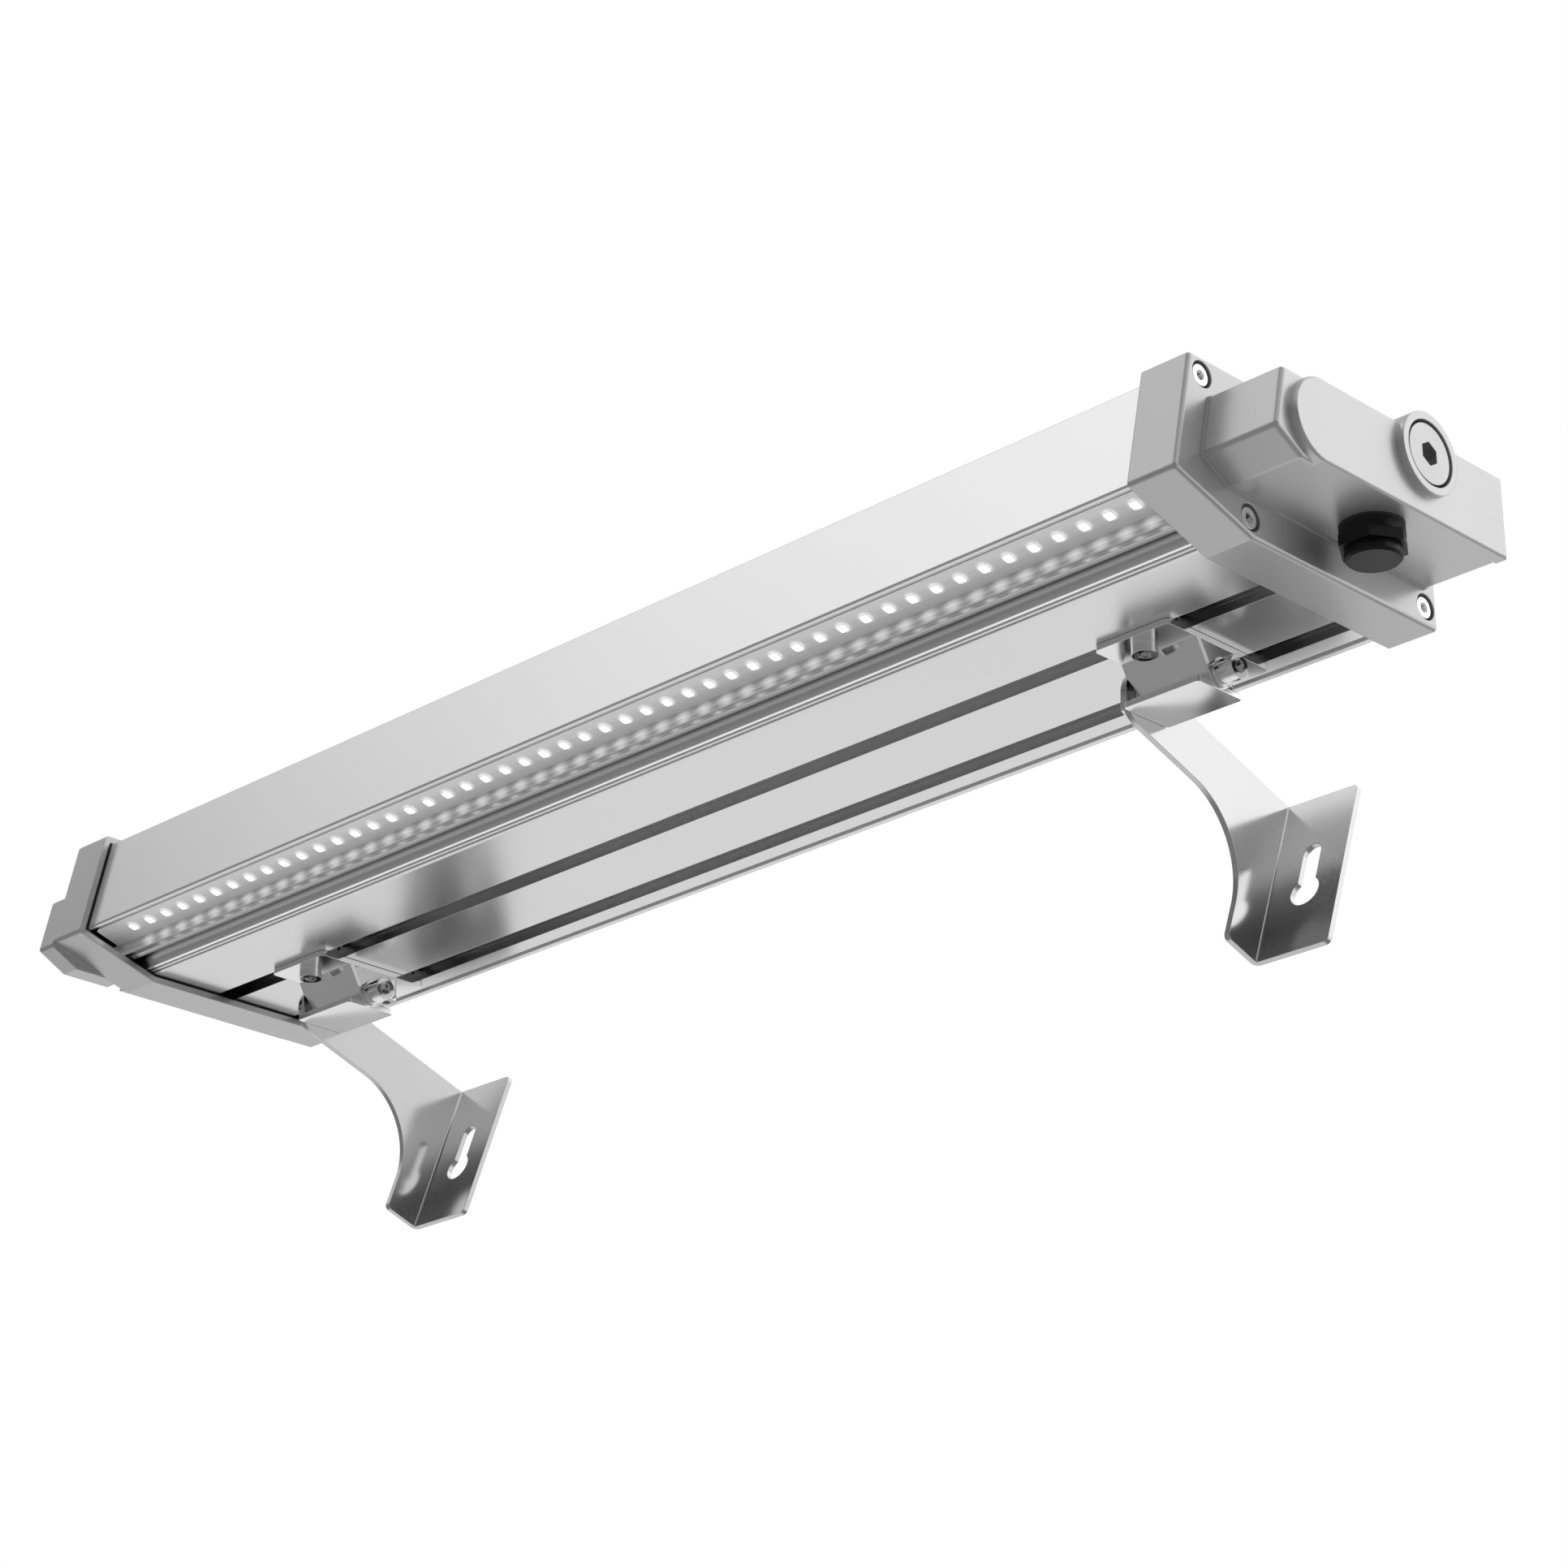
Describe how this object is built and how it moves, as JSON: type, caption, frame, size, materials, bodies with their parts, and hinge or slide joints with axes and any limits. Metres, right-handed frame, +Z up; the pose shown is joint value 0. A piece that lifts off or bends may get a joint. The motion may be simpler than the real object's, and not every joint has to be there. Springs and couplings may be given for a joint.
{
  "type": "outdoor wall washer light",
  "caption": "Linear outdoor wall washer light with an aluminium housing, a connection box on its right end and two tilting steel wall brackets.",
  "frame": {"origin": "on the wall plane, midway between the round holes of the two keyholes, at the height of their centres", "axes": "+X along the light towards the end with the connection box, +Y into the wall, +Z up; the light stands out from the wall on the -Y side"},
  "size_m": [0.5882, 0.169, 0.1224],
  "materials": {
    "bracket_steel": "polished stainless sheet",
    "clip_steel": "mirror polished stainless sheet",
    "bolt_steel": "polished stainless",
    "cap_screw_steel": "bright polished",
    "profile_aluminium": "satin anodised",
    "cast_aluminium": "satin silver-grey powder coat",
    "box_aluminium": "satin silver-grey powder coat",
    "plug_aluminium": "turned, satin",
    "tray_aluminium": "mill finish",
    "clear_cover": "clear",
    "dark_gasket": "matt",
    "pale_gasket": "matt",
    "white_reflector": "bright polished",
    "white_board": "white solder mask",
    "lit_led": "lit, white",
    "grey_tape": "matt",
    "white_plastic": "moulded",
    "black_plastic": "moulded",
    "red_lead": "insulated wire",
    "brown_lead": "insulated wire"
  },
  "bodies": {
    "wall_brackets": {"bracket_left": "bracket_steel", "bracket_right": "bracket_steel", "pivot_bolts": "bolt_steel", "pivot_washers": "bolt_steel", "spring_washers": "bolt_steel", "pivot_nuts": "bolt_steel"},
    "tilt_clips": {"clip_left": "clip_steel", "clip_right": "clip_steel", "clip_screws": "bolt_steel", "slot_nuts": "bolt_steel"},
    "housing": {"housing_profile": "profile_aluminium", "end_cap_left": "cast_aluminium", "end_cap_right": "cast_aluminium", "cap_gasket_left": "dark_gasket", "cap_gasket_right": "dark_gasket", "cap_screws_left": "cap_screw_steel", "cap_screws_right": "cap_screw_steel", "cover_lens": "clear_cover", "lens_seals": "dark_gasket", "reflector": "white_reflector", "led_board": "white_board", "led_chips": "lit_led", "thermal_tape": "grey_tape", "driver_tray": "tray_aluminium", "led_driver": "white_plastic", "led_leads": "red_lead", "connection_box": "box_aluminium", "box_gasket": "pale_gasket", "box_screws": "bolt_steel", "terminal_block": "white_plastic", "supply_leads": "brown_lead", "lead_grommet": "dark_gasket", "screw_plug": "plug_aluminium", "plug_o_ring": "dark_gasket", "blanking_plug": "black_plastic", "blanking_seal": "dark_gasket"}
  },
  "joints": [
    {"name": "tilt", "type": "hinge", "parent": "wall_brackets", "child": "tilt_clips", "pos_m": [0, -0.074, 0.029], "axis": [1, 0, 0], "range_deg": [-20, 90]},
    {"name": "side_slide", "type": "slide", "parent": "tilt_clips", "child": "housing", "axis": [1, 0, 0], "range_m": [-0.025, 0.025]}
  ]
}
